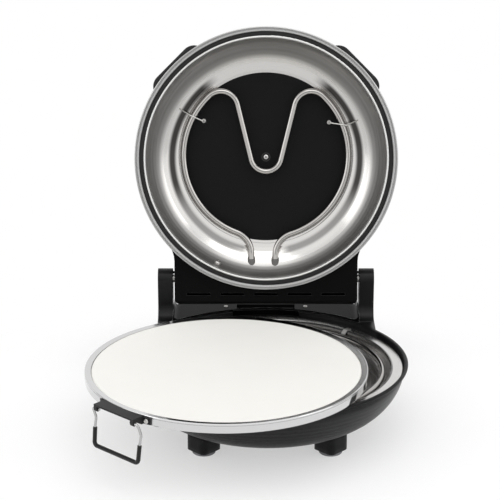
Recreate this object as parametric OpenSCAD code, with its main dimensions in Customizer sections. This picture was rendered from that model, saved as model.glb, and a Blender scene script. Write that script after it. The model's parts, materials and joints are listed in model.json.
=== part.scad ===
// Countertop pizza maker: a round base with a tubular element, a hinged domed lid with a second
// element, and a lift-out stone tray with a folding wire bail.
// X is to the right, Y is to the back and Z is up. The origin is on the table, on the base's axis.
// The lid stands open and the tray lies pulled forward on the rim, as it is set out for loading.

/* [Base] */
// Outer radius of the base rim
rim_r = 166; // [156:1:186]
// Height of the top of the rim above the table
rim_z = 86; // [80:1:100]
// Width of the lip that carries the tray
lip_w = 4.5; // [4:0.25:6]
// Height of the lip's outer face
lip_h = 2.4; // [2:0.2:4]
// Depth of the reflector's flange below the top of the rim
recess_d = 6; // [5:0.5:8]
// Wall of the base shell
shell_t = 2.2; // [1.6:0.2:3]
// Distance from the rim in to where the belly turns flat underneath
belly_inset = 61; // [54:1:68]
// Height of the flat underside above the table
belly_z = 23.5; // [20:0.5:28]
// Fullness of the belly curve, 1 is an ellipse
belly_p = 1.12; // [1:0.02:1.3]

/* [Feet] */
// Distance of each foot's centre inside the belly's flat, along X and for the front feet along Y
foot_inset = 32; // [27:1:38]
// The same for the rear feet along Y, further back to bear the open lid
rear_foot_inset = 7; // [4:1:14]
// Side of a square foot block
foot_side = 30; // [24:1:34]
// Corner radius of a foot block
foot_corner = 6; // [3:1:9]
// Radius of the rubber pad under a foot
pad_r = 13.5; // [9:0.5:14]
// Height of the rubber pad
pad_h = 4.5; // [3:0.5:6]

/* [Base reflector and lower element] */
// Width of the reflector's flat flange, to the inside of the shell
flange_w = 15; // [13:0.5:19]
// Thickness of the reflector sheets
sheet_t = 0.8; // [0.6:0.1:1.2]
// Depth of the reflector's floor below the top of the rim
pan_d = 34; // [30:1:40]
// Width of the reflector's curved wall
pan_wall_w = 28.8; // [24:0.4:36]
// Distance from the flange in to the centre line of the lower element's ring
ring_inset = 10.8; // [9:0.2:14]
// Distance from the flange down to the lower element's centre line
ring_drop = 6.5; // [5.5:0.5:9]
// Radius of the element tubes
tube_r = 3.6; // [3:0.1:4]

/* [Hinge] */
// Distance of the hinge axis inside the back of the rim
hinge_inset = 13.8; // [8:0.2:15]
// Height of the hinge axis above the top of the rim
hinge_rise = 47.2; // [45:0.2:52]
// Angle that the lid opens
open_angle = 101; // [90:1:105]
// Radius of the hinge pins
pin_r = 5; // [4:0.25:5.5]
// Running clearance round the hinge pins
pin_gap = 0.06; // [0.02:0.01:0.1]
// Distance of the posts' inner faces inside the side of the rim
post_inset = 49.5; // [46:0.5:52]
// Width of a hinge post
post_w = 18.5; // [17:0.5:22]
// Radius of a post's rounded top
post_r = 12.7; // [12:0.1:14]
// Radius of the sweep at the foot of a post
post_sweep_r = 17; // [10:1:19]

/* [Rear housing of the base] */
// Distance that the rear wall stands behind the rim
rear_reach = 16; // [12:1:22]
// Corner radius of the rear housing
rear_corner = 14; // [8:1:18]
// Height of the rear housing
rear_h = 44; // [38:1:48]
// Thickness of the glossy deck
deck_t = 2.4; // [2:0.2:3]
// Width of the notch in the back of the rim
notch_w = 84; // [60:1:100]

/* [Tray] */
// Distance of the tray's hoop inside the rim that it lies on
tray_inset = 3.4; // [2:0.2:4.2]
// Height of the hoop
tray_h = 11; // [10:0.5:14]
// Thickness of the hoop's sheet
hoop_t = 1.2; // [0.8:0.1:1.6]
// Width of the hoop's lip round the baking stone
stone_inset = 7.2; // [6:0.2:10]
// Clearance round the baking stone
stone_gap = 0.4; // [0.3:0.1:1]
// Gap between the tray and the rim it lies on
tray_gap = 0.3; // [0.2:0.05:0.5]
// Direction of the tray's handle, and the way the tray is pulled out
handle_az = 226.8; // [220:0.2:232]
// Distance that the tray is pulled out
tray_out = 68.4; // [50:0.2:70]
// Half of the bracket's width
bracket_half = 31; // [28:0.5:36]
// Distance that the bracket stands out from the hoop
bracket_out = 14; // [12:0.5:18]
// Distance that the bracket's flange reaches past its side, along the hoop
flange_reach = 8.8; // [7:0.2:12]
// Radius of the bail wire
wire_r = 1.5; // [1.2:0.1:1.8]
// Running clearance round the bail wire
wire_gap = 0.08; // [0.04:0.01:0.1]
// Wall of the bail's sleeve
sleeve_t = 0.8; // [0.6:0.1:1.2]
// Height of the bail below its pivots
bail_drop = 45; // [40:0.5:54]

/* [Lid] */
// Distance of the lid's bright ring inside the tray's hoop
lid_inset = 1.1; // [0.5:0.1:2.5]
// Gap between the closed lid and the tray
lid_gap = 1.6; // [1.4:0.1:2.5]
// Width of the bright ring
lid_ring_w = 5.8; // [5:0.2:7]
// Width of the gasket's groove
gasket_w = 5.2; // [4:0.2:6]
// Depth of the bowl
bowl_d = 38.6; // [34:0.2:42]
// Width of bare bowl round the black disc
disc_inset = 43.2; // [38:0.2:48]
// Height of the lid's dome above its rim
dome_h = 53; // [50:0.5:58]
// Wall of the dome
dome_t = 1.2; // [0.8:0.1:2]
// Distance from the disc to the upper element's centre line
upper_gap = 8.6; // [7.5:0.1:11]

/* [Lid housing and controls] */
// Gap between the hinge housing and a post
housing_gap = 2.5; // [1.5:0.25:4]
// Half of the height of the hinge housing
housing_half_h = 16; // [15:0.5:17]
// Distance that the housing reaches behind the hinge axis
housing_back = 30.8; // [29:0.2:32]
// Corner radius of the housing's outline
housing_corner = 7; // [5:0.5:9]
// Wall of the housing
housing_t = 2.4; // [2:0.2:3]
// Width of a vent slot
slot_w = 29.4; // [24:0.2:34]
// Height of a vent slot
slot_h = 3; // [2:0.2:4]
// Distance between the centres of the vent slots
slot_pitch = 42; // [38:0.5:44]
// Radius of the control knobs
knob_r = 17; // [14:0.5:19]
// Height of the control knobs
knob_h = 15; // [12:0.5:18]
// Distance of each knob from the centre
knob_x = 60; // [45:1:70]
// Radius of the knob shafts
shaft_r = 3; // [2.5:0.25:3.5]

/* [Lid handle] */
// Angle of each handle lug from the front of the lid
lug_angle = 45; // [40:1:52]
// Distance that a lug's flat end stands outside the lid's ring
lug_out = 3.5; // [2:0.5:8]
// Width of a lug
lug_w = 80; // [66:1:84]
// Corner radius of a lug's outline
lug_corner = 16; // [10:1:22]
// Distance of the handle bar's arc inside the lid's ring
bar_inset = 12.5; // [10:0.5:15]
// Width of the handle bar
bar_w = 18; // [14:1:22]
// Height of the handle bar's section
bar_h = 14; // [10:1:18]
// Height of the handle bar's centre above the dome
bar_rise = 5; // [3:1:12]

/* [Hidden] */
$fn = 64;
eps = 0.02;
joint = 0.1;                         // half of the gap under a band between two lengths of bar
seat = 0.3;                          // standing clearance between pieces that are not a fit
curve_steps = 14;

lip_in_r = rim_r - lip_w;
belly_r = rim_r - belly_inset;
flange_z = rim_z - recess_d;
shell_top_r = rim_r - lip_w + 0.3;
shell_top_z = rim_z - lip_h - 2.4;
flange_r = shell_top_r - shell_t - seat;
flange_in_r = shell_top_r - flange_w;
pan_floor_z = rim_z - pan_d;
pan_floor_r = flange_in_r - pan_wall_w;
ring_r = flange_in_r - ring_inset;
ring_z = flange_z - ring_drop;
hinge_y = rim_r - hinge_inset;
hinge_z = rim_z + hinge_rise;
post_in_x = rim_r - post_inset;
rear_y = rim_r + rear_reach;
rear_low_z = rim_z - rear_h;
foot_at = belly_r - foot_inset;
foot_rear_y = belly_r - rear_foot_inset;
foot_top_z = belly_z + 18;
foot_places = [[-foot_at, -foot_at], [foot_at, -foot_at], [-foot_at, foot_rear_y], [foot_at, foot_rear_y]];
cover_r = belly_r - 4;               // opening under the shell
cover_screw_r = cover_r - 9;
inlet_w = 27;
inlet_h = 17;
inlet_x = 44.5 - post_in_x;
inlet_z = rim_z - 13;
lower_gap_a = 8;                     // half of the angle that the lower element leaves open
lower_bend_r = 9;
bush_r = 6;
upper_bush_r = 4.7;
bush_gap = 0.1;
clip_angles = [47.7, 132.3, 227.7, 312.3];
clip_w = 6;
wire_way_w = 40;                     // window in the shell for the wires
rear_from_y = belly_r - 45;          // the rear housing starts inside the belly here
deck_screw_x = post_in_x - 66;
deck_screw_y = rear_y - 11;

post_out_x = post_in_x + post_w;
post_front_y = hinge_y - post_r;
post_back_y = hinge_y + post_r;

tray_r = rim_r - tray_inset;
stone_r = tray_r - stone_inset - stone_gap;
lid_ring_r = tray_r - lid_inset;
tray_z = rim_z + tray_gap;
lid_z = tray_z + tray_h + lid_gap;
handle_dir = [cos(handle_az), sin(handle_az)];
tray_at = tray_out * handle_dir;
shelf_t = 1.2;                       // thickness of the bracket's sheet
eye_r = 2.85;                        // outside of the eyelets that hold the bail
bail_x = tray_r + bracket_out - eye_r - 0.1;
shelf_z = tray_h - 1.6;
bail_z = shelf_z - 4.7;
bail_bends = [4, 9, 20, 4.5];
rivet_a = asin((bracket_half + 3.2) / tray_r);
rivet_z = tray_h / 2 - 0.9;

hinge_up = hinge_z - lid_z;          // hinge axis above the lid's rim plane
ring_h = 6;                          // height of the bright ring
gasket_out_r = lid_ring_r - lid_ring_w;
gasket_in_r = gasket_out_r - gasket_w;
bead_r = 1.35;
bowl_r = gasket_in_r - 2 * bead_r;
dome_r = lid_ring_r - 1;
dome_flat_r = 70;
disc_r = bowl_r - disc_inset;
bowl_flat_r = disc_r - 4.6;
upper_z = bowl_d - upper_gap;
housing_half = post_in_x - housing_gap;
housing_low = hinge_up - housing_half_h;
housing_high = hinge_up + housing_half_h;
housing_rear = hinge_y + housing_back;
cover_z = housing_high - 3;          // parting plane of the housing and its cover
lug_stop_r = 8.9;                    // radius of the stop peg about the hinge axis
peg_r = 1.7;
peg_a = 140;
knob_y = hinge_y - 4;
stem_r = 5;
handle_low = ring_h + 3;
bar_r = lid_ring_r - bar_inset;
bar_z = dome_h + bar_rise;
lobe_r = 21;                         // the M of the upper element
lobe_a = 46.5;
valley_r = 19;
outer_arc_r = disc_r - 2.6;
outer_arc_y = 2;
neck_r = 28;
terminal_x = [-18, 11.5];            // the tube's ends, left and right of the middle
terminal_y = bowl_r - 9.8;
clip_r = 0.8;
bowl_p = 1.15;
bowl_top = bowl_d + 1.45;            // the flat of the bowl, behind the disc
valley_low = 17.5;
cover_screw_at = [for (y = [hinge_y + 19, hinge_y - 28], s = [-1, 1]) [s * (housing_half - 13), y]];

black = [0.07, 0.07, 0.08];
gloss_black = [0.03, 0.03, 0.04];
steel = [0.72, 0.72, 0.71];
chrome = [0.85, 0.85, 0.85];
rubber = [0.35, 0.35, 0.36];

// A quarter of a rounded form, from the point [r0, z0] to the flat at [r1, z1]
function quarter(r0, z0, r1, z1, p) =
    [for (i = [0:curve_steps]) let (t = 90 * i / curve_steps)
        [r1 + (r0 - r1) * pow(cos(t), p), z0 + (z1 - z0) * pow(sin(t), p)]];
// The points of an arc
function arc(c, r, a0, a1, n = 8) =
    [for (i = [0:n]) let (a = a0 + (a1 - a0) * i / n) c + r * [cos(a), sin(a)]];
function flat(p) = [p[0], p[1], 0];
function polar(r, a) = r * [cos(a), sin(a)];
function slope(r) = atan(bowl_at(r - 0.5) - bowl_at(r + 0.5));
// Height of the lid's bowl above its rim at a radius
function bowl_at(r) =
    let (t = acos(pow((r - bowl_flat_r) / (bowl_r - bowl_flat_r), 1 / bowl_p)))
        4 + (bowl_top - 4) * pow(sin(t), bowl_p);
function reversed(v) = [for (i = [len(v) - 1:-1:0]) v[i]];

// Extrudes a profile drawn in Y and Z along X, centred
module across(width) {
    rotate([90, 0, 90]) linear_extrude(width, center = true) children();
}
// A straight round bar between two points
module rod(p, q, r) {
    d = q - p;
    translate(p)
        rotate([0, acos(d[2] / norm(d)), atan2(d[1], d[0])])
            cylinder(h = norm(d), r = r, $fn = 32);
}
// A bend of a round bar in the XY plane, ending a hair short inside the bands at its joints
module bend(c, bend_r, a0, a1, r) {
    trim = joint / bend_r * 180 / PI;
    translate([c[0], c[1], 0]) rotate([0, 0, a0 + trim])
        rotate_extrude(angle = a1 - a0 - 2 * trim, $fn = 96) translate([bend_r, 0]) circle(r, $fn = 32);
}
// The band of weld over a joint between two lengths of bar
module band(p, dir, r) {
    rod(p - 2.5 * joint * dir, p + 2.5 * joint * dir, r + 0.04);
}
// A round bar along straight lines, with a round bend at each point between its ends
module bent_bar(points, bends, r) {
    last = len(points) - 1;
    dirs = [for (i = [0:last - 1]) (points[i + 1] - points[i]) / norm(points[i + 1] - points[i])];
    turns = [0, for (i = [1:last - 1]) acos(dirs[i - 1] * dirs[i]), 0];
    cuts = [for (i = [0:last]) turns[i] == 0 ? 0 : bends[i - 1] * tan(turns[i] / 2)];
    for (i = [0:last - 1])
        rod(points[i] + (cuts[i] + (i > 0 ? joint : 0)) * dirs[i],
            points[i + 1] - (cuts[i + 1] + (i < last - 1 ? joint : 0)) * dirs[i], r);
    for (i = [1:last - 1]) {
        inwards = (dirs[i] - cos(turns[i]) * dirs[i - 1]) / sin(turns[i]);
        from = points[i] - cuts[i] * dirs[i - 1];
        c = from + bends[i - 1] * inwards;
        x = -inwards;
        y = dirs[i - 1];
        z = cross(x, y);
        multmatrix([[x[0], y[0], z[0], c[0]], [x[1], y[1], z[1], c[1]], [x[2], y[2], z[2], c[2]],
                    [0, 0, 0, 1]])
            bend([0, 0], bends[i - 1], 0, turns[i], r);
        band(from, dirs[i - 1], r);
        band(points[i] + cuts[i] * dirs[i], dirs[i], r);
    }
}
// A rectangle with round corners
module round_rect(x0, y0, x1, y1, r) {
    polygon(concat(arc([x1 - r, y1 - r], r, 0, 90), arc([x0 + r, y1 - r], r, 90, 180),
                   arc([x0 + r, y0 + r], r, 180, 270), arc([x1 - r, y0 + r], r, 270, 360)));
}
// Puts the closed lid's frame, whose rim plane is z = 0, at the open rest pose
module on_lid() {
    translate([0, hinge_y, hinge_z]) rotate([-open_angle, 0, 0])
        translate([0, -hinge_y, -hinge_up]) children();
}
// Puts the tray's frame, with X along its handle, at the pulled-out rest pose
module on_tray() {
    translate([tray_at[0], tray_at[1], tray_z]) rotate([0, 0, handle_az]) children();
}
// A screw with a domed head and a cross recess, its head's seat at z = 0
module screw(head_r, head_h, shank_r, shank_l) {
    difference() {
        union() {
            rotate_extrude($fn = 48)
                polygon(concat([[0, 0], [head_r, 0]], [for (i = [1:5])
                    [head_r * cos(15 * i), head_h * (0.35 + 0.65 * sin(18 * i))]], [[0, head_h]]));
            translate([0, 0, -shank_l]) cylinder(h = shank_l + eps, r = shank_r, $fn = 32);
        }
        for (a = [0, 90]) rotate([0, 0, a])
            translate([-head_r * 0.55, -head_r * 0.12, head_h * 0.45])
                cube([head_r * 1.1, head_r * 0.24, head_h]);
    }
}

// Base

module shell_profile() {
    polygon(concat([[cover_r, belly_z]],
        reversed(quarter(shell_top_r, shell_top_z, belly_r, belly_z, belly_p)),
        [[rim_r - 0.5, rim_z - lip_h], [rim_r, rim_z - lip_h + 0.5], [rim_r, rim_z - 0.9],
         [rim_r - 0.3, rim_z - 0.3], [rim_r - 0.9, rim_z], [lip_in_r + 0.9, rim_z],
         [lip_in_r + 0.2, rim_z - 0.4], [lip_in_r, rim_z - 1.2]],
        quarter(shell_top_r - shell_t, flange_z - 3, belly_r, belly_z + shell_t, belly_p),
        [[cover_r, belly_z + shell_t]]));
}
// The space inside the belly's outer face, grown by a clearance
module belly_space(grow) {
    rotate_extrude($fn = 128)
        polygon(concat([[0, belly_z - grow], [belly_r, belly_z - grow]],
            reversed(quarter(shell_top_r + grow, shell_top_z, belly_r, belly_z - grow, belly_p)),
            [[shell_top_r + grow, rim_z + 20], [0, rim_z + 20]]));
}
module rear_plan(inset) {
    polygon(concat([[-post_out_x + inset, rear_from_y], [post_out_x - inset, rear_from_y]],
        arc([post_out_x - rear_corner, rear_y - rear_corner], rear_corner - inset, 0, 90),
        arc([-post_out_x + rear_corner, rear_y - rear_corner], rear_corner - inset, 90, 180)));
}
module rear_block(inset, top) {
    intersection() {
        translate([0, 0, rear_low_z]) linear_extrude(top - rear_low_z) rear_plan(inset);
        across(2 * post_out_x + 2)
            polygon(concat([[rear_from_y, top + 1], [rear_from_y, rear_low_z + inset]],
                arc([rear_y - 20, rear_low_z + 20], 20 - inset, -90, 0),
                [[rear_y - inset, top + 1]]));
    }
}
module base_shell() {
    color(black) difference() {
        union() {
            rotate_extrude($fn = 128) shell_profile();
            difference() {
                rear_block(0, rim_z);
                intersection() {
                    rear_block(shell_t, rim_z + 1);
                    translate([1 - post_in_x, rear_from_y, 0])
                        cube([2 * post_in_x - 2, 2 * rim_r, rim_z + 2]);
                }
                belly_space(-0.6);
            }
            for (s = [-1, 1]) translate([s * deck_screw_x, deck_screw_y, rear_low_z + 1])
                cylinder(h = rim_z - rear_low_z - 1, r = 4, $fn = 32);
        }
        translate([-notch_w / 2, lip_in_r - 40, flange_z + 1]) cube([notch_w, lip_w + 40.6, 40]);
        translate([-wire_way_w / 2, lip_in_r - 40, rear_low_z + 18]) cube([wire_way_w, 40, 12]);
        translate([inlet_x - inlet_w / 2, rear_y - 12, inlet_z - inlet_h / 2])
            cube([inlet_w, 20, inlet_h]);
        for (s = [-1, 1]) translate([s * deck_screw_x, deck_screw_y, rim_z - 12])
            cylinder(h = 20, r = 1.5, $fn = 32);
    }
}
module bottom_cover() {
    color(black) difference() {
        union() {
            translate([0, 0, belly_z]) cylinder(h = shell_t, r = cover_r - seat, $fn = 128);
            translate([0, 0, belly_z + shell_t]) cylinder(h = 1.6, r = cover_r + 3, $fn = 128);
        }
        for (row = [-4:4], s = [-1, 1])
            translate([s * 24 - 15, row * 9 - 1.5, belly_z - 1]) cube([30, 3, 8]);
        for (a = [0:90:270]) rotate([0, 0, a])
            translate([cover_screw_r, 0, belly_z - 1]) cylinder(h = 8, r = 2, $fn = 32);
    }
}
module bottom_screws() {
    color(steel) for (a = [0:90:270]) rotate([0, 0, a])
        translate([cover_screw_r, 0, belly_z]) rotate([180, 0, 0]) screw(3.6, 1.8, 1.9, 6);
}
module foot(at) {
    color(black) difference() {
        translate([at[0], at[1], pad_h]) rotate([0, 0, 45])
            linear_extrude(foot_top_z - pad_h)
                round_rect(-foot_side / 2, -foot_side / 2, foot_side / 2, foot_side / 2, foot_corner);
        belly_space(seat / 3);
    }
}
module foot_pads() {
    color(rubber) for (at = foot_places) translate([at[0], at[1], 0])
        rotate_extrude($fn = 64)
            polygon([[0, 0], [pad_r - 0.8, 0], [pad_r, 0.8], [pad_r, pad_h], [0, pad_h]]);
}

// Base reflector and lower element

module base_reflector() {
    wall_r = flange_in_r - 1.6;
    color(steel) difference() {
        rotate_extrude($fn = 128)
            polygon(concat([[0, pan_floor_z]],
                reversed(quarter(wall_r, flange_z - 3, pan_floor_r, pan_floor_z, 0.9)),
                [[flange_in_r - 1.2, flange_z - 1.2], [flange_in_r, flange_z - 0.4],
                 [flange_in_r + 1.5, flange_z], [flange_r, flange_z], [flange_r, flange_z - sheet_t],
                 [flange_in_r + 1.6, flange_z - sheet_t], [flange_in_r + 0.6, flange_z - 1.2],
                 [flange_in_r - 0.4, flange_z - 2]],
                quarter(wall_r + sheet_t, flange_z - 3, pan_floor_r, pan_floor_z - sheet_t, 0.9),
                [[0, pan_floor_z - sheet_t]]));
        for (s = [-1, 1]) lower_end(s) translate([0, lower_bend_r, -60])
            cylinder(h = 60, r = bush_r + bush_gap, $fn = 48);
        for (a = clip_angles) rotate([0, 0, a])
            translate([flange_in_r - 5, -clip_w / 2 - 1.2, flange_z - 5])
                cube([7.5, clip_w + 2.4, 10]);
    }
}
// The frame at an end of the lower element: X outwards, Y along the ring, away from it
module lower_end(s) {
    rotate([0, 0, 90 + s * lower_gap_a]) translate([ring_r, 0, ring_z])
        mirror([0, s > 0 ? 1 : 0, 0]) children();
}
module lower_element() {
    color(steel) {
        translate([0, 0, ring_z])
            bend([0, 0], ring_r, 90 + lower_gap_a, 90 + 360 - lower_gap_a, tube_r);
        for (s = [-1, 1]) lower_end(s) {
            band([0, 0, 0], [0, 1, 0], tube_r);
            translate([0, 0, -lower_bend_r]) rotate([90, 0, 90])
                bend([0, 0], lower_bend_r, 0, 90, tube_r);
            band([0, lower_bend_r, -lower_bend_r], [0, 0, 1], tube_r);
            rod([0, lower_bend_r, -lower_bend_r - joint], [0, lower_bend_r, -lower_bend_r - 22], tube_r);
        }
    }
}
module lower_bushings() {
    color([0.9, 0.88, 0.82]) for (s = [-1, 1]) lower_end(s)
        translate([0, lower_bend_r, -26]) difference() {
            cylinder(h = 13, r = bush_r, $fn = 48);
            translate([0, 0, -1]) cylinder(h = 16, r = tube_r + 0.05, $fn = 48);
        }
}
module lower_clips() {
    under = ring_z - tube_r - seat;
    color(steel) for (a = clip_angles) rotate([0, 0, a])
        translate([0, clip_w / 2, 0]) rotate([90, 0, 0]) linear_extrude(clip_w)
            polygon([[flange_in_r + 7, flange_z + 0.05], [flange_in_r - 0.5, flange_z + 0.05],
                     [ring_r + 6.6, ring_z + 3], [ring_r + 6.6, ring_z - 2], [ring_r + 3.6, under - 0.6],
                     [ring_r, under - 1], [ring_r - 3.6, under - 0.4], [ring_r - 5.4, ring_z - 1],
                     [ring_r - 4.6, ring_z - 0.6], [ring_r - 3, under + 0.5], [ring_r, under],
                     [ring_r + 3.2, under + 0.4], [ring_r + 5.6, ring_z - 1.6], [ring_r + 5.6, ring_z + 3.4],
                     [flange_in_r - 1, flange_z + 1], [flange_in_r + 7, flange_z + 1]]);
}

// Rear deck, inlet and hinge

module rear_deck() {
    deck_half = post_in_x - 0.4;
    color(gloss_black) difference() {
        union() {
            translate([0, 0, rim_z]) linear_extrude(deck_t)
                polygon(concat([[-deck_half, belly_r], [deck_half, belly_r]],
                    arc([deck_half - 8, rear_y - 8], 8, 0, 90),
                    arc([8 - deck_half, rear_y - 8], 8, 90, 180)));
            // hollow sweeps up to the posts
            for (s = [-1, 1]) mirror([s < 0 ? 1 : 0, 0, 0])
                translate([0, rear_y - 8, 0]) rotate([90, 0, 0]) linear_extrude(80)
                    polygon(concat([[deck_half, rim_z + 1]],
                        reversed(arc([deck_half - 9.5, rim_z + deck_t + 9], 9, 0, -90)),
                        [[deck_half, rim_z + deck_t + 9]]));
            // the raised channel that carries the wires to the hinge
            intersection() {
                across(74) round_rect(rear_y - 15, rim_z - 3, rear_y - 2, rim_z + deck_t + 3.6, 3);
                translate([-100, 0, rim_z]) cube([200, 300, 30]);
            }
        }
        translate([0, 0, rim_z - 5]) cylinder(h = 40, r = rim_r + 0.4, $fn = 128);
        for (s = [-1, 1]) translate([s * deck_screw_x, deck_screw_y, rim_z - 1])
            cylinder(h = 20, r = 1.5, $fn = 32);
    }
}
module deck_screws() {
    color(steel) for (s = [-1, 1]) translate([s * deck_screw_x, deck_screw_y, rim_z + deck_t])
        screw(2.6, 1.3, 1.4, 10);
}
module mains_inlet() {
    color(gloss_black) translate([inlet_x, rear_y, inlet_z]) rotate([-90, 0, 0]) difference() {
        union() {
            linear_extrude(1.6) round_rect(-inlet_w / 2 - 3, -inlet_h / 2 - 3, inlet_w / 2 + 3, inlet_h / 2 + 3, 3);
            translate([0, 0, -17]) linear_extrude(17 + eps)
                square([inlet_w - 0.4, inlet_h - 0.4], center = true);
        }
        translate([0, 0, -14]) linear_extrude(20)
            round_rect(-inlet_w / 2 + 1.6, -inlet_h / 2 + 1.6, inlet_w / 2 - 1.6, inlet_h / 2 - 1.6, 2.5);
    }
}
module inlet_pins() {
    color(steel) translate([inlet_x, rear_y, inlet_z]) rotate([-90, 0, 0])
        for (p = [[-7, 2], [0, -2], [7, 2]])
            translate([p[0] - 1, p[1] - 2, -14]) cube([2, 4, 11]);
}
module hinge_frame() {
    translate([0, hinge_y, hinge_z]) rotate([90, 0, 90]) children();
}
module hinge_post(s) {
    slot_from = peg_a - open_angle - 13;
    mirror([s < 0 ? 1 : 0, 0, 0]) color(black) difference() {
        translate([post_in_x + post_w / 2, 0, 0]) across(post_w)
            polygon(concat([[post_back_y, rim_z]], arc([hinge_y, hinge_z], post_r, 0, 180, 24),
                arc([post_front_y - post_sweep_r, rim_z + post_sweep_r], post_sweep_r, 0, -90, 12)));
        // the bore of the pin
        hinge_frame() translate([0, 0, post_in_x - 1])
            cylinder(h = post_w - 2, r = pin_r + pin_gap, $fn = 64);
        // the curved slot that the stop peg of the housing runs in
        hinge_frame() translate([0, 0, post_in_x - 1]) rotate([0, 0, slot_from])
            rotate_extrude(angle = open_angle + 26, $fn = 96)
                translate([lug_stop_r - peg_r - 0.3, 0]) square([2 * peg_r + 0.6, 5]);
        cylinder(h = 200, r = rim_r + 0.5, $fn = 128);
    }
}
module hinge_pin(s) {
    mirror([s < 0 ? 1 : 0, 0, 0]) color(steel)
        hinge_frame() translate([0, 0, housing_half - 12]) {
            cylinder(h = post_in_x + post_w - 4 - (housing_half - 12), r = pin_r, $fn = 64);
            rotate_extrude($fn = 64) polygon([[0, -1], [pin_r - 1, -1], [pin_r, 0], [0, 0]]);
        }
}

// Lid

module dome_space(grow) {
    rotate_extrude($fn = 128)
        polygon(concat([[0, -20], [lid_ring_r + grow, -20], [lid_ring_r + grow, ring_h],
                        [dome_r + grow, ring_h]],
            quarter(dome_r + grow, ring_h + 2, dome_flat_r, dome_h + grow, 1), [[0, dome_h + grow]]));
}
module lid_shell() {
    color(black) on_lid() difference() {
        rotate_extrude($fn = 128)
            polygon(concat([[dome_r, ring_h]], quarter(dome_r, ring_h + 2, dome_flat_r, dome_h, 1),
                [[0, dome_h], [0, dome_h - dome_t]],
                reversed(quarter(dome_r - dome_t, ring_h + 2, dome_flat_r, dome_h - dome_t, 1)),
                [[dome_r - dome_t, ring_h]]));
        // the window behind the housing, for the terminals and wires
        translate([-40, disc_r, upper_z - 4]) cube([80, rim_r - disc_r + 10, 14]);
    }
}
module lid_ring() {
    color(chrome) on_lid() rotate_extrude($fn = 128)
        polygon([[gasket_out_r, 0.5], [gasket_out_r + 0.5, 0], [gasket_out_r + 2.2, 0],
                 [gasket_out_r + 2.6, 0.7], [gasket_out_r + 3.2, 0.7], [gasket_out_r + 3.6, 0],
                 [lid_ring_r - 0.9, 0], [lid_ring_r - 0.3, 0.4], [lid_ring_r, 1.2], [lid_ring_r, ring_h],
                 [bowl_r + 0.8, ring_h], [bowl_r + 0.8, ring_h - 1], [gasket_out_r, ring_h - 1]]);
}
module lid_gasket() {
    color([0.16, 0.15, 0.15]) on_lid() rotate_extrude($fn = 128)
        polygon([[gasket_in_r + 0.1, 2], [gasket_in_r + 0.8, 1.4], [gasket_out_r - 0.8, 1.4],
                 [gasket_out_r - 0.1, 2], [gasket_out_r - 0.1, ring_h - 1], [gasket_in_r + 0.1, ring_h - 1]]);
}
module lid_reflector() {
    color(chrome) on_lid() difference() {
        union() {
            rotate_extrude($fn = 128)
                polygon(concat([[bowl_r, 2.5]], quarter(bowl_r, 4, bowl_flat_r, bowl_top, bowl_p),
                    [[0, bowl_top], [0, bowl_top + sheet_t]],
                    reversed(quarter(bowl_r + sheet_t, 4, bowl_flat_r, bowl_top + sheet_t, bowl_p)),
                    [[bowl_r + sheet_t, 2.5]]));
            rotate_extrude($fn = 128) translate([bowl_r + bead_r, bead_r + 0.6]) circle(bead_r, $fn = 32);
        }
        for (x = terminal_x) translate([x, disc_r, upper_z])
            rotate([-90, 0, 0]) cylinder(h = disc_inset, r = upper_bush_r + bush_gap, $fn = 48);
    }
}
module lid_disc() {
    color([0.05, 0.05, 0.055]) on_lid() difference() {
        translate([0, 0, bowl_d]) cylinder(h = 1, r = disc_r, $fn = 128);
        translate([0, 0, bowl_d - 1]) cylinder(h = 3, r = 1.7, $fn = 32);
    }
}
// The bends of the M are circles that touch, worked out here for its right half
module upper_element() {
    lobe_d = outer_arc_r - lobe_r;
    lobe = [lobe_d * cos(lobe_a), outer_arc_y + lobe_d * sin(lobe_a)];
    valley = [0, valley_r - valley_low];
    span = lobe - valley;
    leg_n = atan2(span[1], span[0]) - acos((lobe_r + valley_r) / norm(span));
    normal = [cos(leg_n), sin(leg_n)];
    along = [-sin(leg_n), cos(leg_n)];
    leg_top = lobe - lobe_r * normal;
    leg_low = valley + valley_r * normal;
    color(steel) on_lid() translate([0, 0, upper_z]) mirror([0, 1, 0]) {
        bend(valley, valley_r, -180 - leg_n, leg_n, tube_r);
        for (m = [0, 1]) mirror([m, 0, 0]) {
            end_x = abs(terminal_x[1 - m]);
            neck = [end_x + neck_r,
                    outer_arc_y - sqrt(pow(outer_arc_r + neck_r, 2) - pow(end_x + neck_r, 2))];
            neck_a = atan2(neck[1] - outer_arc_y, neck[0]);
            bend([0, outer_arc_y], outer_arc_r, neck_a, lobe_a, tube_r);
            bend(lobe, lobe_r, lobe_a, 180 + leg_n, tube_r);
            bend(neck, neck_r, neck_a + 180, 180, tube_r);
            rod(flat(leg_low + joint * along), flat(leg_top - joint * along), tube_r);
            rod([end_x, neck[1] - joint, 0], [end_x, -terminal_y, 0], tube_r);
            band(flat(leg_top), flat(along), tube_r);
            band(flat(leg_low), flat(along), tube_r);
            band([end_x, neck[1], 0], [0, 1, 0], tube_r);
            for (a = [lobe_a, neck_a])
                band([outer_arc_r * cos(a), outer_arc_y + outer_arc_r * sin(a), 0],
                     [-sin(a), cos(a), 0], tube_r);
        }
    }
}
module upper_bushings() {
    color([0.9, 0.88, 0.82]) on_lid() for (x = terminal_x)
        translate([x, terminal_y - 11, upper_z]) rotate([-90, 0, 0]) difference() {
            cylinder(h = 10, r = upper_bush_r, $fn = 48);
            translate([0, 0, -1]) cylinder(h = 12, r = tube_r + 0.05, $fn = 48);
        }
}
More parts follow.
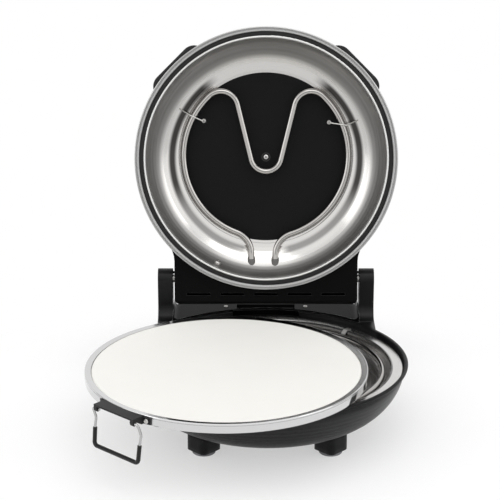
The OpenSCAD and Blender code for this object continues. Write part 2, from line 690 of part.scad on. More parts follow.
// A wire clip, from its rivet on the disc over the tube to the bowl's wall, at the angles of its ends
module clip(rivet_at, end_at) {
    rivet = polar(outer_arc_r - 12.6, rivet_at);
    over = polar(outer_arc_r + 5, end_at);
    end = polar(outer_arc_r + 19.5, end_at);
    foot_z = bowl_d - clip_r;
    top_z = upper_z - tube_r - clip_r - 0.1;
    color(steel) on_lid() mirror([0, 1, 0]) {
        translate([rivet[0], rivet[1], bowl_d - 1.6]) cylinder(h = 1.6, r = 2.6, $fn = 32);
        bent_bar([[rivet[0], rivet[1], foot_z], [rivet[0], rivet[1], top_z],
                  [over[0], over[1], top_z], [end[0], end[1], bowl_at(norm(end)) - 1.3]], [2, 2], clip_r);
    }
}
module clip_left() { clip(149.8, 150.8); }
module clip_right() { clip(28.9, 22); }
module disc_screw() {
    color(steel) on_lid() translate([0, 0, bowl_d]) rotate([180, 0, 0]) {
        difference() {
            cylinder(h = 0.8, r = 5.7, $fn = 48);
            translate([0, 0, -1]) cylinder(h = 3, r = 1.6, $fn = 32);
        }
        translate([0, 0, 0.8 - eps]) screw(3.2, 2.2, 1.6, 0.8);
    }
}
// The screw that holds the bowl, seated on the slope of its wall
module reflector_screw() {
    at_r = bowl_r - 4.2;
    color(steel) on_lid() rotate([0, 0, 114.9]) translate([at_r, 0, bowl_at(at_r)])
        rotate([0, 180 + slope(at_r), 0]) translate([0, 0, 0.5]) {
            cylinder(h = 1, r = 4.6, $fn = 48);
            translate([0, 0, 1 - eps]) screw(3.2, 1.8, 1.6, 0.8);
        }
}

// Lid housing and controls

module housing_plan(inset) {
    hx = housing_half - inset;
    polygon(concat(arc([hx - housing_corner + inset, housing_rear - housing_corner], housing_corner - inset, 90, 0),
        [[hx, hinge_y - 24], [hx + 0.6, hinge_y - 30], [hx + 2.4, hinge_y - 36], [hx + 5, hinge_y - 42],
         [hx - 4, hinge_y - 50 + inset], [hx - 49, hinge_y - 74 + inset],
         [49 - hx, hinge_y - 74 + inset], [4 - hx, hinge_y - 50 + inset], [-hx - 5, hinge_y - 42],
         [-hx - 2.4, hinge_y - 36], [-hx - 0.6, hinge_y - 30], [-hx, hinge_y - 24]],
        arc([housing_corner - inset - hx, housing_rear - housing_corner], housing_corner - inset, 180, 90)));
}
module housing_block(inset, low, high) {
    intersection() {
        translate([0, 0, low]) linear_extrude(high - low) housing_plan(inset);
        across(2 * rim_r) round_rect(20, housing_low + inset, housing_rear - inset, housing_high - inset, 5);
    }
}
module hinge_housing() {
    color(black) on_lid() difference() {
        union() {
            difference() {
                housing_block(0, housing_low, cover_z);
                difference() {
                    housing_block(housing_t, housing_low, cover_z + 1);
                    dome_space(housing_t + 0.2);
                }
            }
            for (s = [-1, 1]) translate([s * (housing_half - 7), hinge_y, hinge_up])
                rotate([0, 90, 0]) cylinder(h = 13.8, r = 9.5, center = true, $fn = 64);
            for (s = [-1, 1])
                translate([s * (housing_half - 1), hinge_y + lug_stop_r * cos(peg_a),
                           hinge_up + lug_stop_r * sin(peg_a)])
                    rotate([0, s * 90, 0]) cylinder(h = housing_gap + 4.4, r = peg_r, $fn = 32);
        }
        dome_space(0.2);
        for (s = [-1, 1]) translate([s * housing_half, hinge_y, hinge_up])
            rotate([0, 90, 0]) cylinder(h = 30, r = pin_r + pin_gap, center = true, $fn = 64);
        for (i = [-2:2]) translate([i * slot_pitch - slot_w / 2, housing_rear - 13 - slot_h / 2, housing_low - 1])
            cube([slot_w, slot_h, housing_t + 2]);
    }
}
module housing_cover() {
    color(gloss_black) on_lid() difference() {
        housing_block(0, cover_z, housing_high);
        dome_space(0.2);
        for (s = [-1, 1]) translate([s * knob_x, knob_y, cover_z - 1])
            cylinder(h = 10, r = stem_r + 0.2, $fn = 48);
        for (p = cover_screw_at) translate([p[0], p[1], cover_z - 1]) cylinder(h = 10, r = 1.7, $fn = 32);
        for (s = [-1, 1]) translate([s * 9, knob_y, cover_z - 1]) cylinder(h = 10, r = 2.6, $fn = 32);
    }
}
module cover_screws() {
    color(steel) on_lid() for (p = cover_screw_at) translate([p[0], p[1], housing_high])
        screw(3, 1.5, 1.6, 8);
}
module indicator_lamps() {
    color([0.8, 0.1, 0.05]) on_lid() for (s = [-1, 1]) translate([s * 9, knob_y, cover_z - 4])
        rotate_extrude($fn = 32)
            polygon(concat([[0, 0], [4, 0], [4, 3.9], [2.5, 3.9]],
                arc([0, housing_high - cover_z + 3.4], 2.5, 0, 90)));
}
// A control in a round can under the cover, with its stem through the cover
module control(can_r, can_h) {
    difference() {
        union() {
            translate([0, 0, cover_z - can_h]) cylinder(h = can_h, r = can_r, $fn = 64);
            translate([0, 0, cover_z - 1]) cylinder(h = 1 + housing_high - cover_z, r = stem_r, $fn = 48);
        }
        translate([0, 0, cover_z - can_h + 2]) cylinder(h = 60, r = shaft_r + 0.06, $fn = 48);
    }
}
module thermostat() {
    color(steel) on_lid() translate([-knob_x, knob_y, 0]) control(13, 11);
}
module timer_unit() {
    color(steel) on_lid() translate([knob_x, knob_y, 0]) control(13.5, 11);
}
module knob() {
    color(black) {
        rotate_extrude($fn = 96)
            polygon([[0, 0], [knob_r - 0.6, 0], [knob_r, 0.6], [knob_r - 0.4, 2.6], [knob_r - 3.4, 4.2],
                     [knob_r - 4.4, 5.4], [0, 5.4]]);
        intersection() {
            rotate_extrude($fn = 96)
                polygon([[0, 4], [knob_r - 3.6, 4], [knob_r - 4.2, knob_h - 1.2], [knob_r - 5.4, knob_h],
                         [0, knob_h]]);
            translate([-4, -knob_r, 4]) cube([8, 2 * knob_r, knob_h]);
        }
        translate([0, 0, -12]) cylinder(h = 13, r = shaft_r, $fn = 48);
    }
    color([0.9, 0.9, 0.9]) translate([-0.6, knob_r - 11, knob_h - 0.2]) cube([1.2, 6, 0.5]);
}
module temperature_knob() {
    on_lid() translate([-knob_x, knob_y, housing_high + 0.5]) knob();
}
module timer_knob() {
    on_lid() translate([knob_x, knob_y, housing_high + 0.5]) knob();
}

// Lid handle

module lug() {
    inner = bar_r - bar_w / 2;
    lug_reach = lid_ring_r + lug_out;
    intersection() {
        linear_extrude(2 * bar_z) round_rect(inner - 40, -lug_w / 2, lug_reach, lug_w / 2, lug_corner);
        translate([0, lug_w, 0]) rotate([90, 0, 0]) linear_extrude(2 * lug_w)
            polygon(concat([[inner - 5, handle_low]], [[lug_reach - 1, handle_low], [lug_reach, handle_low + 1],
                [lug_reach, handle_low + 14]],
                arc([bar_r + bar_w / 2 - 5, bar_z + bar_h / 2 - 5], 5, 20, 90),
                arc([inner + 5, bar_z + bar_h / 2 - 5], 5, 90, 180)));
        translate([inner - 80, 0, 0]) rotate([90, 0, 90]) linear_extrude(150)
            polygon(concat([[-lug_w / 2, 0], [lug_w / 2, 0], [lug_w / 2, handle_low + 12]],
                arc([lug_w / 2 - 22, bar_z + bar_h / 2 - 6], 6, 20, 90),
                arc([22 - lug_w / 2, bar_z + bar_h / 2 - 6], 6, 90, 160),
                [[-lug_w / 2, handle_low + 12]]));
    }
}
module lid_handle() {
    color(black) on_lid() difference() {
        union() {
            rotate([0, 0, -90 - lug_angle]) rotate_extrude(angle = 2 * lug_angle, $fn = 128)
                translate([bar_r, bar_z]) round_rect(-bar_w / 2, -bar_h / 2, bar_w / 2, bar_h / 2, 5);
            for (s = [-1, 1]) rotate([0, 0, -90 + s * lug_angle]) lug();
        }
        dome_space(0.2);
    }
}

// Tray

module tray_hoop() {
    lip_in = stone_r + stone_gap;
    color(chrome) on_tray() difference() {
        rotate_extrude($fn = 128)
            polygon([[tray_r - 12, 0], [tray_r - 0.8, 0], [tray_r - 0.2, 0.3], [tray_r, 0.9],
                     [tray_r, tray_h - 2.6], [tray_r - 0.6, tray_h - 2.3], [tray_r - 0.6, tray_h - 1.9],
                     [tray_r, tray_h - 1.6], [tray_r, tray_h - 0.7], [tray_r - 0.3, tray_h - 0.2],
                     [tray_r - 1, tray_h], [tray_r - 2.2, tray_h - 0.2], [lip_in, tray_h - 1],
                     [lip_in, tray_h - 1 - hoop_t], [tray_r - 2.4, tray_h - 0.6 - hoop_t],
                     [tray_r - hoop_t - 0.5, tray_h - 2 - hoop_t], [tray_r - hoop_t, hoop_t + 0.5],
                     [tray_r - hoop_t - 0.5, hoop_t], [tray_r - 12, hoop_t]]);
        rivet_holes();
    }
}
module rivet_holes() {
    for (a = [-rivet_a, rivet_a]) rotate([0, 0, a]) translate([tray_r - 5, 0, rivet_z])
        rotate([0, 90, 0]) cylinder(h = 10, r = 1.6, $fn = 32);
}
module baking_stone() {
    color([0.95, 0.94, 0.92]) on_tray() rotate_extrude($fn = 128)
        polygon([[0, hoop_t], [stone_r - 0.8, hoop_t], [stone_r, hoop_t + 0.8],
                 [stone_r, tray_h - 1.8], [stone_r - 0.9, tray_h - 0.9], [0, tray_h - 0.9]]);
}
module tray_bracket() {
    grip_r = tray_r + 0.1;
    eye_w = 4.4;
    out_x = tray_r + bracket_out;
    color([0.18, 0.18, 0.18]) on_tray() difference() {
        union() {
            translate([out_x - 35, -bracket_half, shelf_z]) cube([35, 2 * bracket_half, shelf_t]);
            translate([out_x - shelf_t, -bracket_half, shelf_z - 1]) cube([shelf_t, 2 * bracket_half, 2]);
            for (s = [-1, 1]) {
                translate([0, s * (bracket_half - shelf_t / 2) + shelf_t / 2, 0]) rotate([90, 0, 0])
                    linear_extrude(shelf_t)
                        polygon([[tray_r - 12, 1], [tray_r + 1, 1], [bail_x - eye_r, bail_z + 0.6],
                                 [bail_x, bail_z], [out_x, bail_z], [out_x, shelf_z + 0.4],
                                 [tray_r - 12, shelf_z + 0.4]]);
                // an eyelet rolled from a tab of the shelf
                translate([bail_x, s * (bracket_half - eye_w / 2), bail_z]) rotate([90, 0, 0])
                    cylinder(h = eye_w, r = eye_r, center = true, $fn = 48);
                translate([out_x - shelf_t, s * (bracket_half - eye_w / 2) - eye_w / 2, bail_z])
                    cube([shelf_t, eye_w, shelf_z - bail_z]);
                // a flange that lies against the hoop
                mirror([0, s < 0 ? 1 : 0, 0]) rotate([0, 0, asin((bracket_half - 1) / tray_r)])
                    rotate_extrude(angle = asin((flange_reach + 1) / tray_r) * 1.03, $fn = 128)
                        translate([grip_r - 1, 1.2]) square([1 + shelf_t, tray_h - 3.2]);
            }
        }
        translate([0, 0, -5]) cylinder(h = 30, r = grip_r, $fn = 128);
        rivet_holes();
        translate([bail_x, 0, bail_z]) rotate([90, 0, 0])
            cylinder(h = 80, r = wire_r + wire_gap, center = true, $fn = 48);
    }
}
module bracket_rivets() {
    color(chrome) on_tray() for (a = [-rivet_a, rivet_a]) rotate([0, 0, a])
        translate([tray_r + 1.3, 0, rivet_z]) rotate([0, 90, 0]) {
            translate([0, 0, -4]) cylinder(h = 4 + eps, r = 1.5, $fn = 32);
            rotate_extrude($fn = 48) polygon([[0, 0], [2.8, 0], [2.8, 0.4], [2.2, 1], [1.2, 1], [0.9, 0.6], [0, 0.6]]);
            translate([0, 0, -4.8]) cylinder(h = 1.2, r = 2.4, $fn = 32);
        }
}
// Half of the bail's line, from inside its eyelet to the corner beside its grip
function bail_line() = [
    [bail_x, bracket_half - 6.4, bail_z], [bail_x, bracket_half + 4.8, bail_z],
    [bail_x - 4.6, bracket_half + 4.9, bail_z - 13.5], [bail_x - 2.6, bracket_half + 4.6, bail_z - 22.5],
    [bail_x, bracket_half + 3.8, bail_z - bail_drop]];
// Both halves of a line, the second mirrored across the handle
function both_halves(half) = concat(half, [for (p = reversed(half)) [p[0], -p[1], p[2]]]);
module bail_wire() {
    color(chrome) on_tray() bent_bar(both_halves(bail_line()), concat(bail_bends, reversed(bail_bends)), wire_r);
}
module bail_sleeve() {
    knee = bail_line()[3];
    corner = bail_line()[4];
    leg = (corner - knee) / norm(corner - knee);
    bends = [bail_bends[3], bail_bends[3]];
    color(black) on_tray() difference() {
        bent_bar(both_halves([knee + 2 * leg, corner]), bends, wire_r + 0.1 + sleeve_t);
        bent_bar(both_halves([knee + 0.5 * leg, corner]), bends, wire_r + 0.1);
    }
}

base_shell();
bottom_cover();
bottom_screws();
foot(foot_places[0]);  // foot_front_left
foot(foot_places[1]);  // foot_front_right
foot(foot_places[2]);  // foot_rear_left
foot(foot_places[3]);  // foot_rear_right
foot_pads();
base_reflector();
lower_element();
lower_clips();
lower_bushings();
rear_deck();
deck_screws();
mains_inlet();
inlet_pins();
hinge_post(-1);  // hinge_post_left
hinge_post(1);  // hinge_post_right
hinge_pin(-1);  // hinge_pin_left
hinge_pin(1);  // hinge_pin_right
lid_shell();
lid_ring();
lid_gasket();
lid_reflector();
lid_disc();
upper_element();
clip_left();
clip_right();
disc_screw();
reflector_screw();
upper_bushings();
hinge_housing();
housing_cover();
cover_screws();
thermostat();
timer_unit();
indicator_lamps();
lid_handle();
temperature_knob();
timer_knob();
tray_hoop();
baking_stone();
tray_bracket();
bracket_rivets();
bail_wire();
bail_sleeve();
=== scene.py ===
# %% [markdown]
# # An open pizza maker on a white table
#
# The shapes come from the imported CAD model, which this file loads and never bends. What Blender adds is the
# look: the finish of each part, small printed marks, the light of a photo studio and the camera.

import json
import math

import bmesh
import bpy
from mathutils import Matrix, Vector


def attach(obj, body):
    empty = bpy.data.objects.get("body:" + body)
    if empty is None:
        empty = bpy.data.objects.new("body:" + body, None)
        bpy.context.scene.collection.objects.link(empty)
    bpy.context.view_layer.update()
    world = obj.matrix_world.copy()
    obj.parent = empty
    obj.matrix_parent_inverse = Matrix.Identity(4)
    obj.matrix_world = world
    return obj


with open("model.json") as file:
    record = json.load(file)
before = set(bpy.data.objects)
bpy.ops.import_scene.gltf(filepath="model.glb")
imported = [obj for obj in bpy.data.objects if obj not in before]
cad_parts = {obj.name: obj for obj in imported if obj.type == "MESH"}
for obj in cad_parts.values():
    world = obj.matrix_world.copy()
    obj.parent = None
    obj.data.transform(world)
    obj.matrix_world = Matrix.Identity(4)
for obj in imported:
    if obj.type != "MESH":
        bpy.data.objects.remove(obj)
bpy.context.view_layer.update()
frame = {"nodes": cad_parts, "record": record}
scene = bpy.context.scene
scene.view_settings.view_transform = "Standard"

# %% [markdown]
# ## The camera
#
# The photograph was taken from in front and a little above, through a long lens, so circles stay nearly true.
# The place and the focal length were worked out from the rings of the lid, the tray and the base.

# %% Camera
CAMERA_PLACE = (-0.0199, -1.8612, 0.8396)
LOOKS_DOWN = 18.38                      # degrees below the horizon
LENS = 122.386                          # focal length in mm for a sensor 36 mm wide
view_camera = bpy.data.cameras.new("studio_camera")
view_camera.sensor_width = 36.0
view_camera.lens = LENS
view_camera.clip_end = 60.0
camera = bpy.data.objects.new("studio_camera", view_camera)
camera.location = CAMERA_PLACE
camera.rotation_euler = (math.radians(90.0 - LOOKS_DOWN), 0.0, 0.0)
scene.collection.objects.link(camera)
scene.camera = camera
print("camera looks down", LOOKS_DOWN, "degrees")

# %% [markdown]
# ## Helpers for meshes and for shader nodes
#
# A finish is a small graph of nodes. A few helpers keep the cells short: one adds a node with its values, one
# gives a node group its named inputs and outputs, one makes a colour ramp, one makes a new material that has only
# a Principled shader and its output, and one turns a mesh into a piece that rides on a body of the model. The white
# of the background is mixed in for some rays only, and a helper picks them out with a Light Path node.


# %% Helpers
def add(tree, kind, **values):
    """A shader node of that kind, with its properties and the defaults of its inputs."""
    node = tree.nodes.new(kind)
    for name, value in values.items():
        if hasattr(node, name):
            setattr(node, name, value)
        else:
            node.inputs[name.replace("_", " ")].default_value = value
    return node


def sockets(group, in_out, **given):
    """Named sockets on a node group: a number makes a value socket, and three numbers a vector."""
    for name, value in given.items():
        kind = "NodeSocketVector" if isinstance(value, tuple) else "NodeSocketFloat"
        group.interface.new_socket(name.replace("_", " "), in_out=in_out, socket_type=kind).default_value = value


def ramp(tree, stops, curve="LINEAR"):
    """A colour ramp from a list of (place, grey), with straight or eased steps between them."""
    node = add(tree, "ShaderNodeValToRGB")
    node.color_ramp.interpolation = curve
    for place, grey in stops[1:-1]:
        node.color_ramp.elements.new(place)
    for stop, (place, grey) in zip(node.color_ramp.elements, stops):
        stop.position = place
        stop.color = (grey, grey, grey, 1.0)
    return node


def looked_at(tree):
    """1 for the rays that look at a surface: from the camera, off a polished face or through something clear."""
    path = add(tree, "ShaderNodeLightPath")
    indirect = add(tree, "ShaderNodeMath", operation="MAXIMUM")
    either = add(tree, "ShaderNodeMath", operation="MAXIMUM")
    tree.links.new(path.outputs["Is Glossy Ray"], indirect.inputs[0])
    tree.links.new(path.outputs["Is Transmission Ray"], indirect.inputs[1])
    tree.links.new(path.outputs["Is Camera Ray"], either.inputs[0])
    tree.links.new(indirect.outputs["Value"], either.inputs[1])
    return either.outputs["Value"]


def principled(name, **values):
    """A material with a Principled shader, and the constants that don't change over the surface."""
    finish = bpy.data.materials.new(name)
    finish.use_nodes = True
    shader = finish.node_tree.nodes["Principled BSDF"]
    for socket, value in values.items():
        shader.inputs[socket.replace("_", " ")].default_value = value
    return finish, finish.node_tree, shader


def place_mesh(name, bm, finish, body, smooth=True):
    """Turns a bmesh into a piece that rides on a body."""
    mesh = bpy.data.meshes.new(name)
    bm.to_mesh(mesh)
    bm.free()
    for face in mesh.polygons:
        face.use_smooth = smooth
    mesh.materials.append(finish)
    piece = bpy.data.objects.new(name, mesh)
    scene.collection.objects.link(piece)
    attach(piece, body)
    return piece


print("helpers ready")

# %% [markdown]
# ## Grain: the skin of moulded plastic and of cast or painted parts
#
# Nearly every black part here was moulded in a tool that was etched or blasted, so its skin is a field of tiny
# bumps. A noise texture in object space gives them the same size on every part. The group gives the height for a
# Bump node and a slow mask that changes the roughness from place to place.


# %% Node group: grain
NOISE_LOW, NOISE_HIGH = 0.3, 0.7        # nearly all of a noise texture lies between these values


def grain_group():
    group = bpy.data.node_groups.new("grain", "ShaderNodeTree")
    sockets(group, "INPUT", Size=2000.0, Patch_Size=18.0, Low=0.4, High=0.5)
    sockets(group, "OUTPUT", Height=0.0, Roughness=0.0)
    given, out = group.nodes.new("NodeGroupInput"), group.nodes.new("NodeGroupOutput")
    place = add(group, "ShaderNodeTexCoord")
    fine = add(group, "ShaderNodeTexNoise", Detail=2.0)
    patches = add(group, "ShaderNodeTexNoise", Detail=3.0)
    spread = add(group, "ShaderNodeMapRange", From_Min=NOISE_LOW, From_Max=NOISE_HIGH)
    join = group.links.new
    join(place.outputs["Object"], fine.inputs["Vector"])
    join(place.outputs["Object"], patches.inputs["Vector"])
    join(given.outputs["Size"], fine.inputs["Scale"])
    join(given.outputs["Patch Size"], patches.inputs["Scale"])
    join(patches.outputs["Fac"], spread.inputs["Value"])
    join(given.outputs["Low"], spread.inputs["To Min"])
    join(given.outputs["High"], spread.inputs["To Max"])
    join(fine.outputs["Fac"], out.inputs["Height"])
    join(spread.outputs["Result"], out.inputs["Roughness"])
    return group


GRAIN = grain_group()
print("group:", GRAIN.name, [item.name for item in GRAIN.interface.items_tree])

# %% [markdown]
# ## Spun lines: the fine rings that spinning and polishing leave on sheet metal
#
# The bowl of the lid, its ring and the pan were formed on a lathe, so their scratches run round an axis. The
# group takes the distance from that axis and feeds it to a one-dimensional noise. The lid stands tilted at rest,
# so the axis is given by a point and a direction.


# %% Node group: spun lines
def spun_group():
    group = bpy.data.node_groups.new("spun_lines", "ShaderNodeTree")
    sockets(group, "INPUT", Centre=(0.0, 0.0, 0.0), Axis=(0.0, 0.0, 1.0), Lines=900.0, Low=0.2, High=0.3)
    sockets(group, "OUTPUT", Height=0.0, Roughness=0.0, Radius=0.0)
    given, out = group.nodes.new("NodeGroupInput"), group.nodes.new("NodeGroupOutput")
    join = group.links.new
    place = add(group, "ShaderNodeTexCoord")
    arm = add(group, "ShaderNodeVectorMath", operation="SUBTRACT")
    off_axis = add(group, "ShaderNodeVectorMath", operation="CROSS_PRODUCT")
    radius = add(group, "ShaderNodeVectorMath", operation="LENGTH")
    along = add(group, "ShaderNodeVectorMath", operation="DOT_PRODUCT")
    total = add(group, "ShaderNodeMath", operation="ADD")
    lines = add(group, "ShaderNodeTexNoise", noise_dimensions="1D", Detail=4.0, Roughness=0.7)
    spread = add(group, "ShaderNodeMapRange", From_Min=NOISE_LOW, From_Max=NOISE_HIGH)
    join(place.outputs["Object"], arm.inputs[0])
    join(given.outputs["Centre"], arm.inputs[1])
    join(arm.outputs["Vector"], off_axis.inputs[0])
    join(given.outputs["Axis"], off_axis.inputs[1])
    join(off_axis.outputs["Vector"], radius.inputs[0])
    join(arm.outputs["Vector"], along.inputs[0])
    join(given.outputs["Axis"], along.inputs[1])
    join(radius.outputs["Value"], total.inputs[0])
    join(radius.outputs["Value"], out.inputs["Radius"])
    join(along.outputs["Value"], total.inputs[1])
    join(total.outputs["Value"], lines.inputs["W"])
    join(given.outputs["Lines"], lines.inputs["Scale"])
    join(lines.outputs["Fac"], spread.inputs["Value"])
    join(given.outputs["Low"], spread.inputs["To Min"])
    join(given.outputs["High"], spread.inputs["To Max"])
    join(lines.outputs["Fac"], out.inputs["Height"])
    join(spread.outputs["Result"], out.inputs["Roughness"])
    return group


SPUN = spun_group()
print("group:", SPUN.name)

# %% [markdown]
# ## Rubbed edges, with a painted highlight
#
# Hands, cloths and the tool's own seams rub the sharp edges of black parts a little lighter, and the same lighter
# colour along the edges is also a painted highlight, strongest on the deck. A Bevel node rounds the normals near
# each edge, and where they differ from the true normals there is an edge. A noise breaks the line up, so that it
# isn't the same all the way round.


# %% Node group: rubbed edges with a painted highlight
def edge_group():
    group = bpy.data.node_groups.new("rubbed_and_highlit_edges", "ShaderNodeTree")
    sockets(group, "INPUT", Gain=4.0)
    sockets(group, "OUTPUT", Mask=0.0)
    given, out = group.nodes.new("NodeGroupInput"), group.nodes.new("NodeGroupOutput")
    round_normal = add(group, "ShaderNodeBevel", samples=4, Radius=0.0006)
    true_normal = add(group, "ShaderNodeNewGeometry")
    same = add(group, "ShaderNodeVectorMath", operation="DOT_PRODUCT")
    apart = add(group, "ShaderNodeMath", operation="SUBTRACT")
    apart.inputs[0].default_value = 1.0
    gained = add(group, "ShaderNodeMath", operation="MULTIPLY")
    place = add(group, "ShaderNodeTexCoord")
    broken = add(group, "ShaderNodeTexNoise", Scale=120.0, Detail=2.0)
    line = add(group, "ShaderNodeMath", operation="MULTIPLY", use_clamp=True)
    join = group.links.new
    join(round_normal.outputs["Normal"], same.inputs[0])
    join(true_normal.outputs["Normal"], same.inputs[1])
    join(same.outputs["Value"], apart.inputs[1])
    join(apart.outputs["Value"], gained.inputs[0])
    join(given.outputs["Gain"], gained.inputs[1])
    join(place.outputs["Object"], broken.inputs["Vector"])
    join(gained.outputs["Value"], line.inputs[0])
    join(broken.outputs["Fac"], line.inputs[1])
    join(line.outputs["Value"], out.inputs["Mask"])
    return group


EDGE_WEAR_AND_HIGHLIGHT = edge_group()
print("group:", EDGE_WEAR_AND_HIGHLIGHT.name)

# %% [markdown]
# ## Black plastics and paint
#
# The bowl of the base, the posts and the housing are satin moulded plastic. The deck and the control cover are
# polished. The dome is stoved paint, smoother than plastic, with a clear top. They share one recipe and differ in
# colour, roughness and grain. No moulded edge is quite sharp, so a Bevel node rounds the normals near each edge
# by half a millimetre, which catches a thin line of light there. The bowl of the base is one smooth sweep, but its
# mesh has flat rings, so its Bevel node has a radius of 9 mm and evens them out.


# %% Finish: moulded and painted blacks
def black_finish(name, colour, rough, grain, bump, rubbed=0.05, rounding=0.0005, **values):
    """A finish with a span of roughness, grain per metre, bump, the tone of its edges, which is wear and a painted
    highlight, and their radius.
    """
    finish, tree, shader = principled(name, **values)
    skin = add(tree, "ShaderNodeGroup", node_tree=GRAIN)
    skin.inputs["Size"].default_value = grain
    skin.inputs["Low"].default_value, skin.inputs["High"].default_value = rough
    dim = add(tree, "ShaderNodeMix", data_type="RGBA")
    place = add(tree, "ShaderNodeTexCoord")
    cloud = add(tree, "ShaderNodeTexNoise", Scale=9.0, Detail=3.0)
    relief = add(tree, "ShaderNodeBump", Strength=bump, Distance=0.0001)
    edge = add(tree, "ShaderNodeBevel", samples=6, Radius=rounding)
    join = tree.links.new
    join(edge.outputs["Normal"], relief.inputs["Normal"])
    join(place.outputs["Object"], cloud.inputs["Vector"])
    join(cloud.outputs["Fac"], dim.inputs["Factor"])
    dim.inputs["A"].default_value = (*[c * 0.88 for c in colour], 1.0)
    dim.inputs["B"].default_value = (*[c * 1.12 for c in colour], 1.0)
    # the lighter edge colour is partly wear and partly a painted highlight
    edges = add(tree, "ShaderNodeGroup", node_tree=EDGE_WEAR_AND_HIGHLIGHT)
    worn_and_highlit = add(tree, "ShaderNodeMix", data_type="RGBA")
    worn_and_highlit.inputs["B"].default_value = (rubbed, rubbed, rubbed * 1.02, 1.0)
    join(edges.outputs["Mask"], worn_and_highlit.inputs["Factor"])
    join(dim.outputs["Result"], worn_and_highlit.inputs["A"])
    join(worn_and_highlit.outputs["Result"], shader.inputs["Base Color"])
    join(skin.outputs["Roughness"], shader.inputs["Roughness"])
    join(skin.outputs["Height"], relief.inputs["Height"])
    join(relief.outputs["Normal"], shader.inputs["Normal"])
    return finish


print("black finish ready")

# %% The blacks of this machine
BLACKS = {
    "shell_black": dict(colour=(0.0045, 0.0045, 0.005), rough=(0.28, 0.34), grain=2600.0, bump=0.15,
                        rounding=0.009, Specular_IOR_Level=0.15),
    "housing_black": dict(colour=(0.0025, 0.0025, 0.0025), rough=(0.30, 0.40), grain=2600.0, bump=0.15,
                          rubbed=0.09, Specular_IOR_Level=0.05),
    "post_black": dict(colour=(0.004, 0.004, 0.0045), rough=(0.30, 0.40), grain=2600.0, bump=0.2,
                       Specular_IOR_Level=0.2),
    "deck_black": dict(colour=(0.002, 0.002, 0.002), rough=(0.2, 0.28), grain=900.0, bump=0.02,
                       rubbed=0.4, Specular_IOR_Level=0.02),
    "dome_black": dict(colour=(0.006, 0.006, 0.0065), rough=(0.22, 0.30), grain=1500.0, bump=0.1, Coat_Weight=0.3),
    "handle_black": dict(colour=(0.008, 0.008, 0.0085), rough=(0.38, 0.50), grain=2600.0, bump=0.25,
                         Specular_IOR_Level=0.35),
    "cover_black": dict(colour=(0.004, 0.004, 0.0045), rough=(0.14, 0.20), grain=900.0, bump=0.03),
    "knob_black": dict(colour=(0.008, 0.008, 0.008), rough=(0.35, 0.45), grain=2200.0, bump=0.2),
    "sleeve_black": dict(colour=(0.002, 0.002, 0.002), rough=(0.24, 0.32), grain=2400.0, bump=0.1,
                         Specular_IOR_Level=0.35),
    "gasket_dark": dict(colour=(0.008, 0.0075, 0.0075), rough=(0.55, 0.7), grain=3200.0, bump=0.3,
                        Specular_IOR_Level=0.3),
    "disc_black": dict(colour=(0.0065, 0.0065, 0.007), rough=(0.45, 0.58), grain=3000.0, bump=0.3,
                       Specular_IOR_Level=0.06),
    "rubber_grey": dict(colour=(0.20, 0.20, 0.21), rough=(0.7, 0.85), grain=2200.0, bump=0.3),
    "bracket_sheet": dict(colour=(0.008, 0.008, 0.0085), rough=(0.35, 0.48), grain=1800.0, bump=0.15,
                          rubbed=0.12, Specular_IOR_Level=0.25),
}
blacks = {name: black_finish(name, **values) for name, values in BLACKS.items()}
print("blacks:", list(blacks))

# %% [markdown]
# ## Bright sheet metal
#
# The bowl of the lid is polished with a soft brushing round its axis, the hoop is mirror bright, and the ring of
# the lid and the pan of the base are satin. All are metals, so their colour lives in the reflections, and what
# tells them apart is how rough they are and which way their fine lines run. The ring is rolled, and its colour
# carries a painted highlight, a bright line, with painted shade, darker bands, on either side of it, and the screw
# in the middle of the disc is a bright head on a dull washer. Both are bands of tone by distance from the axis,
# which a colour ramp holds.

# %% The axes that the metal was spun round
OPEN_ANGLE = math.radians(101.0)        # how far the lid stands open at rest
HINGE_Y, HINGE_Z = 0.1522, 0.1332       # the pins, behind the middle of the base and above the table, in metres
HINGE_OVER_RIM = 0.0343                 # the pins lie this far above the rim of the closed lid
lid_axis = Vector((0.0, math.sin(OPEN_ANGLE), math.cos(OPEN_ANGLE)))
lid_centre = Vector((0.0, HINGE_Y - HINGE_Y * math.cos(OPEN_ANGLE) - HINGE_OVER_RIM * math.sin(OPEN_ANGLE),
                     HINGE_Z + HINGE_Y * math.sin(OPEN_ANGLE) - HINGE_OVER_RIM * math.cos(OPEN_ANGLE)))
tray_centre = Vector((-0.04682, -0.04986, 0.0863))
base_centre = Vector((0.0, 0.0, 0.0))
upright = Vector((0.0, 0.0, 1.0))
print("lid centre:", [round(v, 4) for v in lid_centre])


# %% Finish: spun metals
def spun_metal(name, colour, rough, bump, centre, axis):
    """A metal with a span of roughness and fine rings round an axis."""
    finish, tree, shader = principled(name, Metallic=1.0)
    spun = add(tree, "ShaderNodeGroup", node_tree=SPUN)
    spun.inputs["Centre"].default_value = tuple(centre)
    spun.inputs["Axis"].default_value = tuple(axis)
    spun.inputs["Low"].default_value, spun.inputs["High"].default_value = rough
    tone = add(tree, "ShaderNodeMix", data_type="RGBA")
    tone.inputs["A"].default_value = (*[c * 0.94 for c in colour], 1.0)
    tone.inputs["B"].default_value = (*colour, 1.0)
    relief = add(tree, "ShaderNodeBump", Strength=bump, Distance=0.00005)
    join = tree.links.new
    join(spun.outputs["Height"], tone.inputs["Factor"])
    join(tone.outputs["Result"], shader.inputs["Base Color"])
    join(spun.outputs["Roughness"], shader.inputs["Roughness"])
    join(spun.outputs["Height"], relief.inputs["Height"])
    join(relief.outputs["Normal"], shader.inputs["Normal"])
    return finish


